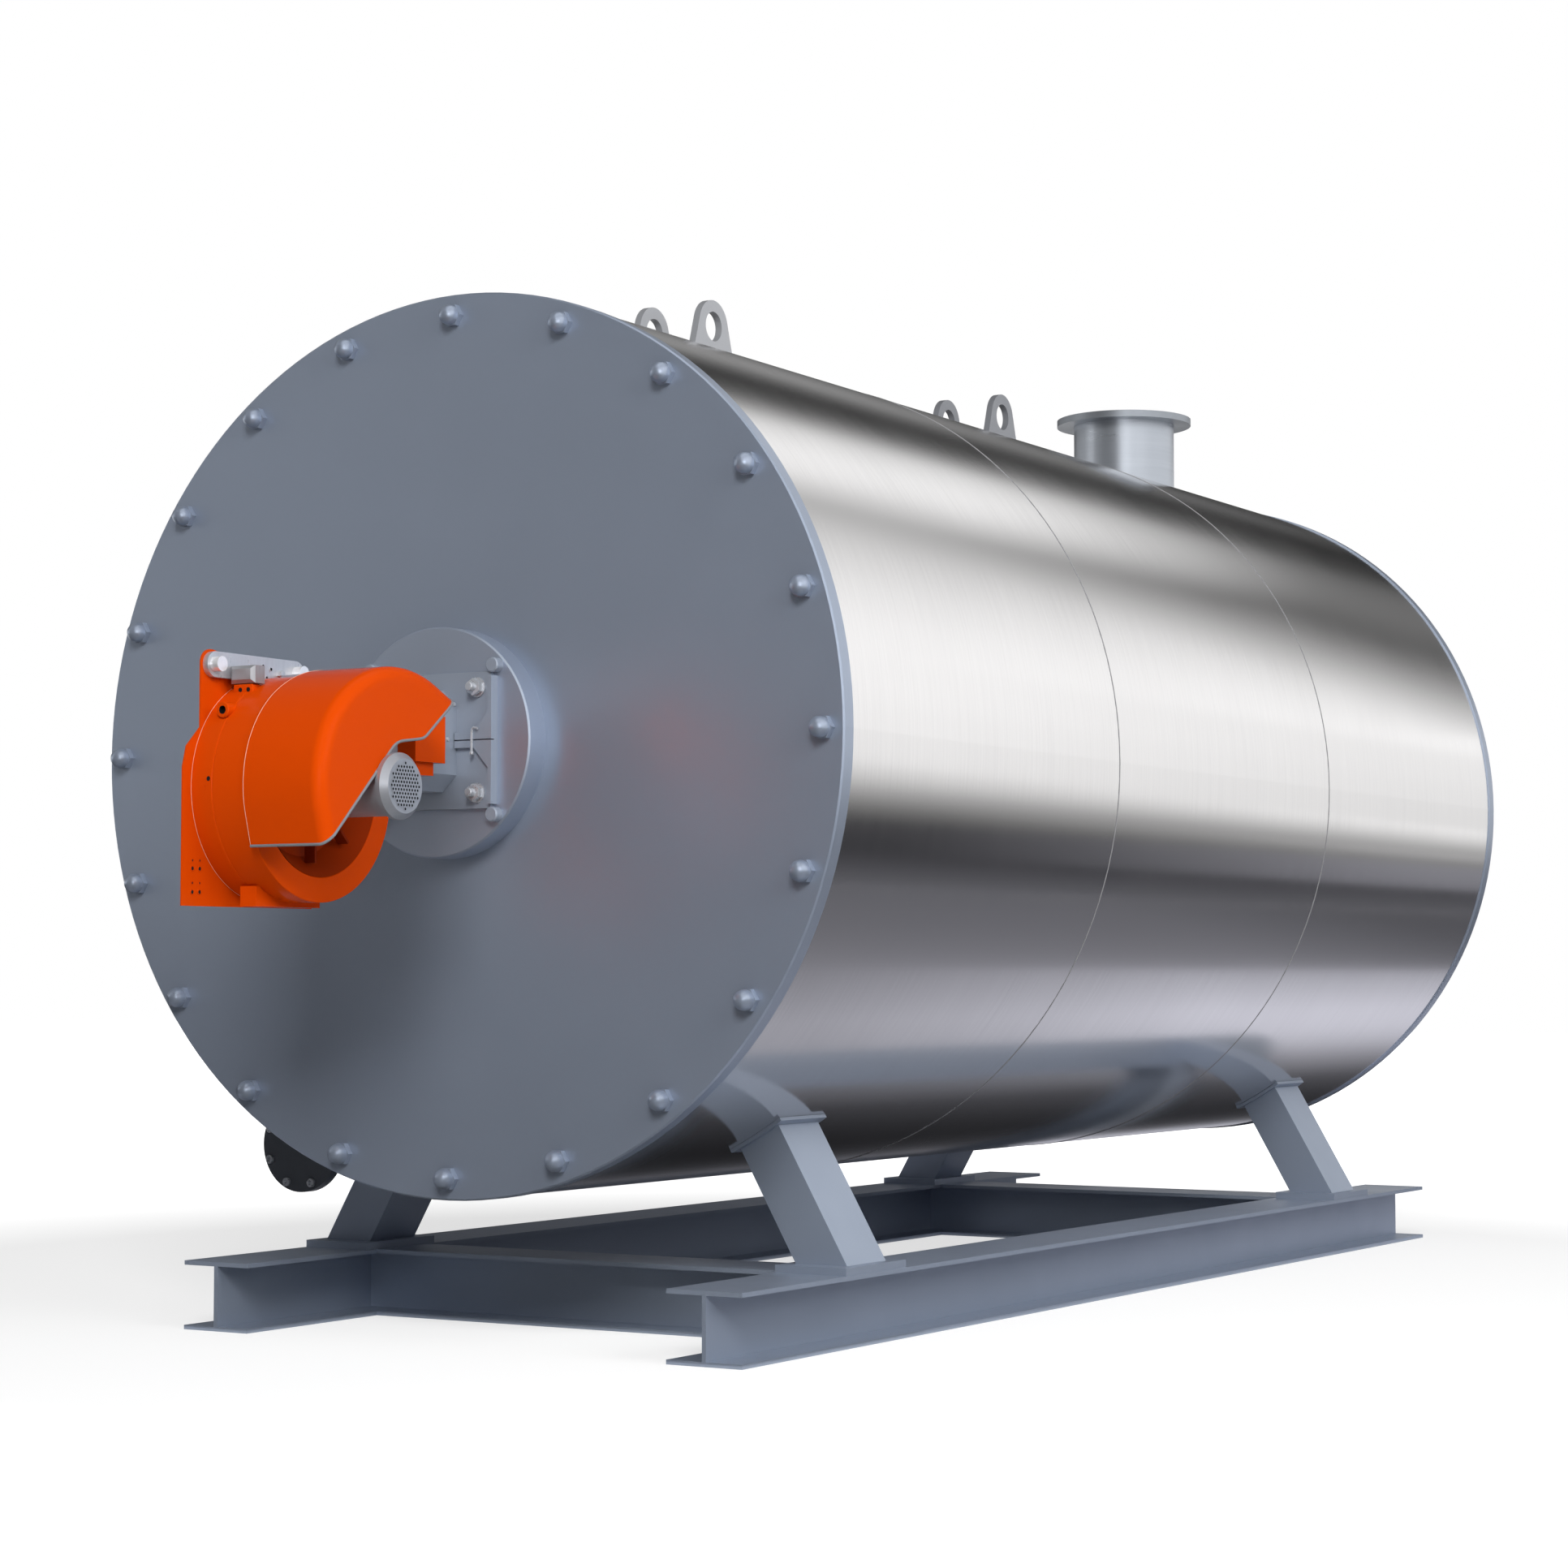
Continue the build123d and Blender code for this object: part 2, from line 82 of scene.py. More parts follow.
def prismShape(corners, radius, height, edge):
    # upright prism with its upper rim bevelled
    bm = bmesh.new()
    bmesh.ops.create_circle(bm, cap_ends=True, segments=corners, radius=radius)
    raised = bmesh.ops.extrude_face_region(bm, geom=bm.faces[:])
    topVerts = [item for item in raised["geom"] if isinstance(item, bmesh.types.BMVert)]
    bmesh.ops.translate(bm, verts=topVerts, vec=(0, 0, height))
    topEdges = [e for e in bm.edges if all(v.co.z > height / 2 for v in e.verts)]
    bmesh.ops.bevel(bm, geom=topEdges, offset=edge, affect="EDGES", segments=2,
                    profile=0.5, material=-1)
    bmesh.ops.recalc_face_normals(bm, faces=bm.faces)
    return bm


def boxShape(size, edge):
    # block about the origin with all its edges rounded
    bm = bmesh.new()
    bmesh.ops.create_cube(bm, size=1)
    bmesh.ops.scale(bm, vec=size, verts=bm.verts)
    bmesh.ops.bevel(bm, geom=bm.edges[:], offset=edge, affect="EDGES", segments=3,
                    profile=0.5, material=-1)
    return bm


def eyeletShape(radius, rim, height):
    # flat ring with a shallow hole whose floor takes painted shade
    floor = height * eyelet["floorShare"]
    bm = turnedShape([(radius + rim, -height), (radius + rim, height), (radius, height),
                      (radius, floor), (0, floor)], eyelet["steps"])
    for face in bm.faces:
        if face.calc_center_median().xy.length < radius * eyelet["shadeShare"]:
            face.material_index = 1
    return bm


def addShape(target, shape, matrix):
    # copies a shape into another one at a place
    mesh = bpy.data.meshes.new("stamp")
    shape.to_mesh(mesh)
    mesh.transform(matrix)
    target.from_mesh(mesh)
    bpy.data.meshes.remove(mesh)


def finishPiece(name, bm, material, second=None):
    # mesh to object, edges over the sharp angle kept crisp; faces with index 1 take the second material
    mesh = bpy.data.meshes.new(name)
    bm.to_mesh(mesh)
    bm.free()
    mesh.polygons.foreach_set("use_smooth", [True] * len(mesh.polygons))
    mesh.set_sharp_from_angle(angle=math.radians(sharpAngle))
    mesh.materials.append(material)
    if second:
        mesh.materials.append(second)
    piece = bpy.data.objects.new(name, mesh)
    scene.collection.objects.link(piece)
    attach(piece, "root")
    print("made", name, len(mesh.polygons), "faces")


def tubeShape(points, radius):
    # round bar along a run of points
    curve = bpy.data.curves.new("run", "CURVE")
    curve.dimensions = "3D"
    curve.bevel_depth = radius
    curve.bevel_resolution = 2
    curve.use_fill_caps = True
    run = curve.splines.new("POLY")
    run.points.add(len(points) - 1)
    for spot, point in zip(run.points, points):
        spot.co = (*point, 1)
    holder = bpy.data.objects.new("run", curve)
    scene.collection.objects.link(holder)
    bpy.context.view_layer.update()
    evaluated = holder.evaluated_get(bpy.context.evaluated_depsgraph_get())
    mesh = bpy.data.meshes.new_from_object(evaluated)
    bm = bmesh.new()
    bm.from_mesh(mesh)
    bpy.data.objects.remove(holder)
    bpy.data.curves.remove(curve)
    bpy.data.meshes.remove(mesh)
    return bm


# shader node groups

def startGroup(name, inputs, outputs):
    group = bpy.data.node_groups.new(name, "ShaderNodeTree")
    for label, kind, value in inputs:
        socket = group.interface.new_socket(label, in_out="INPUT", socket_type=kind)
        socket.default_value = value
    for label, kind in outputs:
        group.interface.new_socket(label, in_out="OUTPUT", socket_type=kind)
    entry = group.nodes.new("NodeGroupInput")
    leave = group.nodes.new("NodeGroupOutput")
    return group, entry, leave


def addNoise(tree, coordinates, scale, detail):
    noise = tree.nodes.new("ShaderNodeTexNoise")
    noise.inputs["Scale"].default_value = scale
    noise.inputs["Detail"].default_value = detail
    tree.links.new(coordinates, noise.inputs["Vector"])
    return noise.outputs["Fac"]


def addRange(tree, value, low, high, toLow, toHigh):
    node = tree.nodes.new("ShaderNodeMapRange")
    for label, number in (("From Min", low), ("From Max", high)):
        node.inputs[label].default_value = number
    for label, number in (("To Min", toLow), ("To Max", toHigh)):
        if isinstance(number, (int, float)):
            node.inputs[label].default_value = number
        else:
            tree.links.new(number, node.inputs[label])
    tree.links.new(value, node.inputs["Value"])
    return node.outputs["Result"]


def addMath(tree, operation, first, second):
    node = tree.nodes.new("ShaderNodeMath")
    node.operation = operation
    for socket, value in zip(node.inputs, (first, second)):
        if isinstance(value, (int, float)):
            socket.default_value = value
        else:
            tree.links.new(value, socket)
    return node.outputs["Value"]


def addMix(tree, factor, first, second):
    node = tree.nodes.new("ShaderNodeMix")
    node.data_type = "RGBA"
    # sockets 0, 6 and 7 are the factor and the two colours, output 2 the colour
    for socket, value in ((node.inputs[0], factor), (node.inputs[6], first), (node.inputs[7], second)):
        if hasattr(value, "is_output"):
            tree.links.new(value, socket)
        else:
            socket.default_value = value
    return node.outputs[2]


paintLook = {"cloudScale": 1.6, "cloudDetail": 2, "cloudRange": (0.2, 0.8), "levelRange": (0.7, 1.0),
             "speckScale": 24, "speckDetail": 6, "speckRange": (0.42, 0.72),
             "dustColor": (0.42, 0.41, 0.39, 1), "smearScale": 7, "smearDetail": 5, "smearRange": (0.3, 0.7),
             "peelScale": 230, "peelDetail": 2, "bump": 0.06, "distance": 0.0006}
steelLook = {"lineScale": 1.0, "lineDetail": 5, "lineShare": 0.6, "markScale": 2.3, "markDetail": 5,
             "markShare": 0.4, "toneRange": (0.36, 0.64), "glossRange": (0.35, 0.65),
             "bump": 0.03, "distance": 0.0004}


def makePaintGroup():
    # sprayed paint: cloudy tone, settled dust on level faces, orange peel
    inputs = (("Color", "NodeSocketColor", (0.2, 0.2, 0.2, 1)),
              ("Shade", "NodeSocketColor", (0.1, 0.1, 0.1, 1)),
              ("Dust", "NodeSocketFloat", 0.1),
              ("Gloss Low", "NodeSocketFloat", 0.3),
              ("Gloss High", "NodeSocketFloat", 0.4))
    outputs = (("Color", "NodeSocketColor"), ("Roughness", "NodeSocketFloat"),
               ("Height", "NodeSocketFloat"))
    tree, entry, leave = startGroup("sprayedPaint", inputs, outputs)
    spot = tree.nodes.new("ShaderNodeTexCoord").outputs["Object"]
    look = paintLook
    clouds = addNoise(tree, spot, look["cloudScale"], look["cloudDetail"])
    cloud = addRange(tree, clouds, *look["cloudRange"], 0.0, 1.0)
    toned = addMix(tree, cloud, entry.outputs["Color"], entry.outputs["Shade"])
    normal = tree.nodes.new("ShaderNodeNewGeometry").outputs["Normal"]
    parts = tree.nodes.new("ShaderNodeSeparateXYZ")
    tree.links.new(normal, parts.inputs[0])
    level = addRange(tree, parts.outputs["Z"], *look["levelRange"], 0.0, 1.0)
    specks = addNoise(tree, spot, look["speckScale"], look["speckDetail"])
    speck = addRange(tree, specks, *look["speckRange"], 0.0, 1.0)
    dust = addMath(tree, "MULTIPLY", addMath(tree, "MULTIPLY", level, speck), entry.outputs["Dust"])
    tree.links.new(addMix(tree, dust, toned, look["dustColor"]), leave.inputs["Color"])
    smear = addNoise(tree, spot, look["smearScale"], look["smearDetail"])
    gloss = (entry.outputs["Gloss Low"], entry.outputs["Gloss High"])
    tree.links.new(addRange(tree, smear, *look["smearRange"], *gloss), leave.inputs["Roughness"])
    tree.links.new(addNoise(tree, spot, look["peelScale"], look["peelDetail"]), leave.inputs["Height"])
    return tree


def makeSteelGroup():
    # rolled or cast metal: fine lines along one way and faint hand marks
    inputs = (("Color", "NodeSocketColor", (0.8, 0.8, 0.8, 1)),
              ("Shade", "NodeSocketColor", (0.7, 0.7, 0.7, 1)),
              ("Gloss Low", "NodeSocketFloat", 0.18),
              ("Gloss High", "NodeSocketFloat", 0.26),
              ("Lines", "NodeSocketVector", (1, 1, 1)))
    outputs = (("Color", "NodeSocketColor"), ("Roughness", "NodeSocketFloat"),
               ("Height", "NodeSocketFloat"))
    tree, entry, leave = startGroup("rolledSteel", inputs, outputs)
    spot = tree.nodes.new("ShaderNodeTexCoord").outputs["Object"]
    stretched = tree.nodes.new("ShaderNodeVectorMath")
    stretched.operation = "MULTIPLY"
    tree.links.new(spot, stretched.inputs[0])
    tree.links.new(entry.outputs["Lines"], stretched.inputs[1])
    look = steelLook
    lines = addNoise(tree, stretched.outputs["Vector"], look["lineScale"], look["lineDetail"])
    marks = addNoise(tree, spot, look["markScale"], look["markDetail"])
    lineTone = addMath(tree, "MULTIPLY", lines, look["lineShare"])
    tone = addMath(tree, "ADD", lineTone, addMath(tree, "MULTIPLY", marks, look["markShare"]))
    fade = addRange(tree, tone, *look["toneRange"], 0.0, 1.0)
    tree.links.new(addMix(tree, fade, entry.outputs["Color"], entry.outputs["Shade"]), leave.inputs["Color"])
    gloss = (entry.outputs["Gloss Low"], entry.outputs["Gloss High"])
    tree.links.new(addRange(tree, tone, *look["glossRange"], *gloss), leave.inputs["Roughness"])
    tree.links.new(lines, leave.inputs["Height"])
    return tree


paintGroup = makePaintGroup()
steelGroup = makeSteelGroup()


def dressed(name, group, values, metallic, bump, distance, specular=0.5):
    # material whose colour, roughness and relief come from a node group
    material = bpy.data.materials.new(name)
    material.use_nodes = True
    tree = material.node_tree
    shader = tree.nodes["Principled BSDF"]
    shader.inputs["Metallic"].default_value = metallic
    shader.inputs["Specular IOR Level"].default_value = specular
    skin = tree.nodes.new("ShaderNodeGroup")
    skin.node_tree = group
    for label, value in values.items():
        skin.inputs[label].default_value = value
    relief = tree.nodes.new("ShaderNodeBump")
    relief.inputs["Strength"].default_value = bump
    relief.inputs["Distance"].default_value = distance
    tree.links.new(skin.outputs["Color"], shader.inputs["Base Color"])
    tree.links.new(skin.outputs["Roughness"], shader.inputs["Roughness"])
    tree.links.new(skin.outputs["Height"], relief.inputs["Height"])
    tree.links.new(relief.outputs["Normal"], shader.inputs["Normal"])
    return material


def paint(name, color, shade, gloss, metallic=0.0, dust=0.1, specular=0.5):
    values = {"Color": (*color, 1), "Shade": (*shade, 1), "Dust": dust,
              "Gloss Low": gloss[0], "Gloss High": gloss[1]}
    return dressed(name, paintGroup, values, metallic, paintLook["bump"], paintLook["distance"], specular)


def steel(name, color, shade, gloss, lines, metallic=1.0, bump=steelLook["bump"]):
    values = {"Color": (*color, 1), "Shade": (*shade, 1), "Lines": lines,
              "Gloss Low": gloss[0], "Gloss High": gloss[1]}
    return dressed(name, steelGroup, values, metallic, bump, steelLook["distance"])


plateFinish = paint("plateSatin", (0.35, 0.404, 0.507), (0.337, 0.389, 0.487), (0.31, 0.37),
                    metallic=0.64, dust=0.0, specular=1.0)
frameFinish = paint("frameSatin", (0.365, 0.422, 0.525), (0.345, 0.40, 0.50), (0.36, 0.44),
                    metallic=0.58, dust=0.02, specular=0.8)
lugFinish = paint("lugGrey", (0.42, 0.43, 0.455), (0.39, 0.40, 0.425), (0.36, 0.44), metallic=0.5,
                  dust=0.05)
# darker copy of the lug paint: painted shade on the rear pair of lugs
rearLugShadeFinish = paint("rearLugPaintedShade", (0.29, 0.30, 0.325), (0.27, 0.28, 0.305), (0.36, 0.44),
                      metallic=0.5, dust=0.05)
# lighter, more metallic copy of the plate paint: painted light that brightens the boss wall and its halo
bossLitFinish = paint("bossPaintedLight", (0.51, 0.575, 0.695), (0.49, 0.553, 0.67), (0.46, 0.54),
                   metallic=0.82, dust=0.0, specular=1.0)
# darker copy of the burner orange: painted shade for the inlet under the hood
intakeShadeFinish = paint("intakePaintedShade", (0.32, 0.030, 0.002), (0.29, 0.026, 0.002), (0.4, 0.5),
                     dust=0.0, specular=0.06)
# darker still: painted shade on the intake vanes
vaneShadeFinish = paint("vanePaintedShade", (0.19, 0.016, 0.001), (0.17, 0.014, 0.001), (0.4, 0.5), dust=0.0,
                   specular=0.06)
nozzleFinish = paint("nozzleDark", (0.078, 0.086, 0.104), (0.066, 0.074, 0.090), (0.36, 0.46), specular=0.3)
orangeFinish = paint("burnerOrange", (0.57, 0.054, 0.001), (0.545, 0.050, 0.001), (0.13, 0.17),
                     dust=0.0, specular=0.03)
burnerGrey = paint("burnerGrey", (0.30, 0.34, 0.41), (0.285, 0.323, 0.39), (0.34, 0.42),
                   metallic=0.35, dust=0.0, specular=0.8)
trimFinish = paint("trimGrey", (0.17, 0.18, 0.198), (0.155, 0.165, 0.182), (0.45, 0.55), dust=0.0)
# near black: painted shade on the floors of shallow holes and grille cells
holeShadeFinish = paint("openingPaintedShade", (0.012, 0.012, 0.013), (0.008, 0.008, 0.009), (0.6, 0.7),
                   dust=0.0, specular=0.2)
jacketFinish = steel("jacketSteel", (0.925, 0.912, 0.91), (0.89, 0.877, 0.877), (0.13, 0.17), (3, 160, 3))
seamFinish = steel("seamMatt", (0.27, 0.27, 0.28), (0.24, 0.24, 0.25), (0.5, 0.6), (3, 3, 3), metallic=0.2)
flangeFinish = steel("flangeSteel", (0.37, 0.395, 0.435), (0.34, 0.365, 0.40), (0.34, 0.42),
                     (9, 9, 9), metallic=0.8)
stackFinish = steel("stackSteel", (0.52, 0.555, 0.61), (0.48, 0.515, 0.57), (0.27, 0.34),
                    (3, 3, 90), metallic=0.8)
motorFinish = steel("motorCast", (0.36, 0.376, 0.41), (0.335, 0.35, 0.382), (0.33, 0.40), (9, 9, 9),
                    metallic=0.6, bump=0.0)
barFinish = steel("barSatin", (0.62, 0.63, 0.66), (0.56, 0.57, 0.60), (0.26, 0.34), (20, 120, 20),
                  metallic=0.7)
# light pinkish colour: painted highlight lines for the rims of hood and drum
highlightLineFinish = paint("paintedHighlightLine", (0.66, 0.34, 0.24), (0.62, 0.31, 0.21), (0.25, 0.32), dust=0.0)
brightFinish = steel("valveBright", (0.80, 0.80, 0.82), (0.72, 0.72, 0.75), (0.07, 0.14), (20, 160, 20))
knobFinish = steel("knobBright", (0.88, 0.88, 0.90), (0.82, 0.82, 0.85), (0.10, 0.16),
                   (20, 160, 20), metallic=0.55)
blockFinish = steel("blockSatin", (0.34, 0.345, 0.365), (0.29, 0.295, 0.315), (0.36, 0.44),
                    (20, 160, 20), metallic=0.5)
galvanFinish = steel("studZinc", (0.60, 0.62, 0.66), (0.54, 0.56, 0.60), (0.24, 0.34), (90, 90, 90),
                     metallic=0.6)

slotFinish = {"plate_paint": plateFinish, "jacket_steel": jacketFinish, "stack_steel": stackFinish,
              "frame_paint": frameFinish, "lug_paint": lugFinish, "nozzle_paint": nozzleFinish,
              "burner_paint": orangeFinish, "burner_steel": burnerGrey,
              "motor_aluminium": motorFinish, "valve_metal": brightFinish}
nodeFinish = {"valve_bar": barFinish, "valve_block": blockFinish, "valve_knob_front": knobFinish,
              "valve_knob_rear": knobFinish, "burner_boss": bossLitFinish,
              "flue_flange": flangeFinish, "intake_vanes": vaneShadeFinish,
              "lifting_lug_rear_left": rearLugShadeFinish, "lifting_lug_rear_right": rearLugShadeFinish}
for part in frame["record"]["subparts"]:
    mesh = nodes[part["node"]].data
    mesh.materials.clear()
    mesh.materials.append(nodeFinish.get(part["node"], slotFinish[part["material_slot"]]))


# cap nuts round both end plates

capNut = {"count": 20, "circle": 1.047, "corner": 0.029, "hexHeight": 0.016, "hexEdge": 0.0015,
          "domeRadius": 0.0245, "domeCentre": 0.022, "domeSteps": 24, "domeArc": 15}


def capNutShape(size):
    bm = prismShape(6, size["corner"], size["hexHeight"], size["hexEdge"])
    bmesh.ops.rotate(bm, verts=bm.verts, matrix=Matrix.Rotation(math.radians(90), 3, "Z"))
    radius, centre = size["domeRadius"], size["domeCentre"]
    arc = [(radius * math.cos(math.radians(a)), centre + radius * math.sin(math.radians(a)))
           for a in range(0, 91, size["domeArc"])]
    dome = turnedShape([(radius, size["hexHeight"] - size["hexEdge"])] + arc, size["domeSteps"])
    addShape(bm, dome, Matrix.Identity(4))
    dome.free()
    return bm


def placeCapNuts():
    nut = capNutShape(capNut)
    bm = bmesh.new()
    for faceY, outward in ((frontY, -1), (rearY, 1)):
        for index in range(capNut["count"]):
            angle = math.tau * index / capNut["count"] + math.radians(90)
            spot = (capNut["circle"] * math.cos(angle), faceY, axisZ + capNut["circle"] * math.sin(angle))
            addShape(bm, nut, facing((0, outward, 0), spot))
    nut.free()
    finishPiece("cap_nuts", bm, plateFinish)


placeCapNuts()


# thin beads over the two seams of the jacket

seamBead = {"radius": 0.0014, "sides": 6, "steps": 180}


def placeSeamBeads():
    low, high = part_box("shell_middle_course")
    jacketRadius = (high.x - low.x) / 2
    bm = bmesh.new()
    for seamY in (low.y, high.y):
        bead = bmesh.new()
        spot = Matrix.Translation((jacketRadius, 0, 0)) @ Matrix.Rotation(math.radians(90), 4, "X")
        circle = bmesh.ops.create_circle(bead, segments=seamBead["sides"], radius=seamBead["radius"],
                                         matrix=spot)
        bmesh.ops.spin(bead, geom=circle["verts"] + bead.edges[:], axis=(0, 0, 1), cent=(0, 0, 0),
                       angle=math.tau, steps=seamBead["steps"], use_merge=True)
        bmesh.ops.remove_doubles(bead, verts=bead.verts, dist=mergeGap["fine"])
        bmesh.ops.recalc_face_normals(bead, faces=bead.faces)
        addShape(bm, bead, facing((0, -1, 0), (0, seamY, axisZ)))
        bead.free()
    finishPiece("seam_beads", bm, seamFinish)


placeSeamBeads()


# burner mount: studs with nuts, and round heads on the boss

mountStud = {"across": 0.136, "up": 0.126, "washer": 0.024, "washerHeight": 0.004, "nutCorner": 0.021,
             "nutHeight": 0.017, "nutEdge": 0.0012, "studRadius": 0.0105, "studReach": 0.038,
             "studEdge": 0.002, "washerSteps": 24, "studSteps": 16}
bossBolt = {"across": 0.183, "up": 0.178, "radius": 0.018, "height": 0.024, "edge": 0.003, "steps": 24}


def studShape(size):
    bm = turnedShape([(0, 0), (size["washer"], 0), (size["washer"], size["washerHeight"]),
                      (0, size["washerHeight"])], size["washerSteps"])
    nut = prismShape(6, size["nutCorner"], size["nutHeight"], size["nutEdge"])
    addShape(bm, nut, Matrix.Translation((0, 0, size["washerHeight"])))
    nut.free()
    top, edge = size["studReach"], size["studEdge"]
    radius = size["studRadius"]
    rod = turnedShape([(radius, 0), (radius, top - edge), (radius - edge, top), (0, top)], size["studSteps"])
    addShape(bm, rod, Matrix.Identity(4))
    rod.free()
    return bm


def placeMountFasteners():
    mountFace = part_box("burner_mount_plate")[0].y
    stud = studShape(mountStud)
    bm = bmesh.new()
    for sideX in (-1, 1):
        for sideZ in (-1, 1):
            spot = (sideX * mountStud["across"], mountFace, axisZ + sideZ * mountStud["up"])
            addShape(bm, stud, facing((0, -1, 0), spot))
    stud.free()
    finishPiece("mount_studs", bm, galvanFinish)
    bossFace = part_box("burner_boss")[0].y
    size = bossBolt
    head = turnedShape([(size["radius"], 0), (size["radius"], size["height"] - size["edge"]),
                        (size["radius"] - size["edge"], size["height"]), (0, size["height"])], size["steps"])
    bm = bmesh.new()
    for sideX in (-1, 1):
        for sideZ in (-1, 1):
            spot = (sideX * size["across"], bossFace, axisZ + sideZ * size["up"])
            addShape(bm, head, facing((0, -1, 0), spot))
    head.free()
    finishPiece("boss_bolts", bm, burnerGrey)


placeMountFasteners()


# blind flange: socket screws through the flange pair

flangeScrew = {"count": 8, "circle": 0.108, "radius": 0.0115, "height": 0.010, "edge": 0.001,
               "socket": 0.006, "depth": 0.006, "steps": 18}


def socketScrewShape(size):
    top, edge = size["height"], size["edge"]
    return turnedShape([(size["radius"], 0), (size["radius"], top - edge), (size["radius"] - edge, top),
                        (size["socket"], top), (size["socket"], top - size["depth"]),
                        (0, top - size["depth"])], size["steps"])


def placeFlangeScrews():
    low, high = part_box("blind_flange")
    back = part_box("nozzle_flange")[1].y
    middle = (low + high) / 2
    screw = socketScrewShape(flangeScrew)
    bm = bmesh.new()
    for index in range(flangeScrew["count"]):
        angle = math.tau * (index + 0.5) / flangeScrew["count"]
        x = middle.x + flangeScrew["circle"] * math.cos(angle)
        z = middle.z + flangeScrew["circle"] * math.sin(angle)
        addShape(bm, screw, facing((0, -1, 0), (x, low.y, z)))
        addShape(bm, screw, facing((0, 1, 0), (x, back, z)))
    screw.free()
    finishPiece("flange_screws", bm, galvanFinish)


placeFlangeScrews()


# motor: perforated grille just proud of the end cover

grille = {"radius": 0.057, "pitch": 0.0098, "hole": 0.0032, "depth": 0.0006, "clear": 0.0004,
          "inset": 0.2}


def grilleShape():
    # flat sheet of six-sided cells, each drilled with a shallow blind hole whose floor takes painted shade
    cell = grille["pitch"] / math.sqrt(3)
    bm = bmesh.new()
    rows = int(grille["radius"] / (grille["pitch"] * math.sqrt(3) / 2)) + 1
    for row in range(-rows, rows + 1):
        for column in range(-rows - 1, rows + 2):
            x = (column + (row % 2) / 2) * grille["pitch"]
            y = row * grille["pitch"] * math.sqrt(3) / 2
            if math.hypot(x, y) < grille["radius"] - cell:
                spot = Matrix.Translation((x, y, 0))
                bmesh.ops.create_circle(bm, cap_ends=True, segments=6, radius=cell, matrix=spot)
    bmesh.ops.remove_doubles(bm, verts=bm.verts, dist=mergeGap["coarse"])
    bmesh.ops.subdivide_edges(bm, edges=bm.edges[:], cuts=1)
    cells = bm.faces[:]
    bmesh.ops.inset_individual(bm, faces=cells, thickness=cell * grille["inset"])
    for face in cells:
        middle = face.calc_center_median()
        for vert in face.verts:
            vert.co = middle + (vert.co - middle).normalized() * grille["hole"]
    drilled = bmesh.ops.extrude_discrete_faces(bm, faces=cells)["faces"]
    for face in drilled:
        bmesh.ops.translate(bm, verts=face.verts[:], vec=(0, 0, -grille["depth"]))
        face.material_index = 1
    return bm


def placeGrille():
    bm = grilleShape()
    centre = Vector((coverHigh.x + grille["depth"] + grille["clear"], fanCentre.y, fanCentre.z))
    bmesh.ops.transform(bm, verts=bm.verts, matrix=facing((1, 0, 0), centre))
    finishPiece("motor_grille", bm, motorFinish, second=holeShadeFinish)


placeGrille()


# hood trim: rubber edging along the cut edges of the outer skin, and thin tubes of painted highlight along
# the left rims of hood and drum

hoodTrim = {"radius": 0.0034, "sharpAngle": 40, "leftClear": 0.002, "sheet": 0.006}
highlightLine = {"radius": 0.0008, "leftClear": 0.001, "drumRadius": 0.2555, "steps": 96}


def reach(face, edge):
    # how far a face extends from one of its edges
    base = edge.verts[0].co
    line = (edge.verts[1].co - base).normalized()
    away = [vert.co - base for vert in face.verts]
    return max((span - line * span.dot(line)).length for span in away)


def rimEdges(bm, centre):
    # edges where the outer skin of a sheet meets its cut face; a face that looks right is skin
    keep = []
    for edge in bm.edges:
        if len(edge.link_faces) != 2:
            continue
        spread = {face: reach(face, edge) + max(face.normal.x, 0) for face in edge.link_faces}
        cut, skin = sorted(spread, key=spread.get)
        bend = math.degrees(cut.normal.angle(skin.normal))
        outside = skin.normal.dot(skin.calc_center_median() - centre) > 0
        if bend > hoodTrim["sharpAngle"] and outside and spread[cut] < hoodTrim["sheet"] < spread[skin]:
            keep.append(edge)
    return keep


def chainsOf(edges):
    # runs of points along joined edges
    near = {}
    for edge in edges:
        for vert in edge.verts:
            near.setdefault(vert, []).append(edge.other_vert(vert))
    ends = [vert for vert, others in near.items() if len(others) == 1]
    seen = set()
    chains = []
    for start in ends + list(near):
        if start in seen:
            continue
        chain = []
        vert = start
        while vert is not None:
            seen.add(vert)
            chain.append(vert.co.copy())
            vert = next((other for other in near[vert] if other not in seen), None)
        if len(chain) > 1:
            chains.append(chain)
    return chains


def runTubes(chains, radius):
    bm = bmesh.new()
    for chain in chains:
        tube = tubeShape(chain, radius)
        addShape(bm, tube, Matrix.Identity(4))
        tube.free()
    return bm


